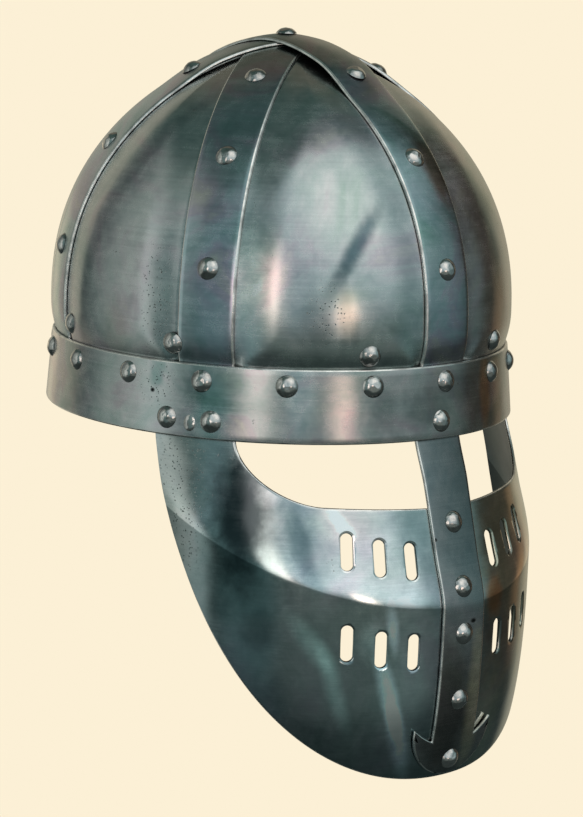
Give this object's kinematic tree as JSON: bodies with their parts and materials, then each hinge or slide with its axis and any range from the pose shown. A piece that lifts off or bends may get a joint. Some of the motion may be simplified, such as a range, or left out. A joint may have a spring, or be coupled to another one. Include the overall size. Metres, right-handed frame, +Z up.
{
  "type": "spangenhelm",
  "caption": "Riveted dark steel spangenhelm: plated dome under crossing straps, brow band, slotted face plate with cheek arms, nasal bar with an anchor foot, leather liner.",
  "frame": {"origin": "centre of the oval of the brow band's lower edge", "axes": "+Z up towards the crown, the face looks along -Y, the wearer's right is -X"},
  "size_m": [0.215, 0.2545, 0.3315],
  "materials": {
    "plate_steel": "satin blued steel, brushed across, with cloudy temper colours",
    "strap_steel": "satin dark blued steel with bright worn edges",
    "band_steel": "satin blued steel with brown temper stains and bright worn edges",
    "face_steel": "satin blued steel with a bright worn ridge",
    "nasal_steel": "dull grey-brown steel",
    "rivet_steel": "polished steel heads with dark rims",
    "liner_leather": "brown vegetable-tanned leather"
  },
  "bodies": {
    "root": {"brow_band": "band_steel", "dome_plate_front_right": "plate_steel", "dome_plate_right": "plate_steel", "dome_plate_back_right": "plate_steel", "dome_plate_back_left": "plate_steel", "dome_plate_left": "plate_steel", "dome_plate_front_left": "plate_steel", "strap_front_to_back": "strap_steel", "strap_lower_diagonal": "strap_steel", "strap_upper_diagonal": "strap_steel", "face_plate": "face_steel", "nasal_bar": "nasal_steel", "leather_liner": "liner_leather", "crown_rivet": "rivet_steel", "front_to_back_strap_rivets": "rivet_steel", "lower_diagonal_strap_rivets": "rivet_steel", "upper_diagonal_strap_rivets": "rivet_steel", "brow_rivets": "rivet_steel", "liner_rivets": "rivet_steel", "cheek_rivets_right": "rivet_steel", "cheek_rivets_left": "rivet_steel", "flush_rivets": "rivet_steel", "nasal_top_rivet": "rivet_steel", "nasal_rivets": "rivet_steel"}
  },
  "joints": []
}
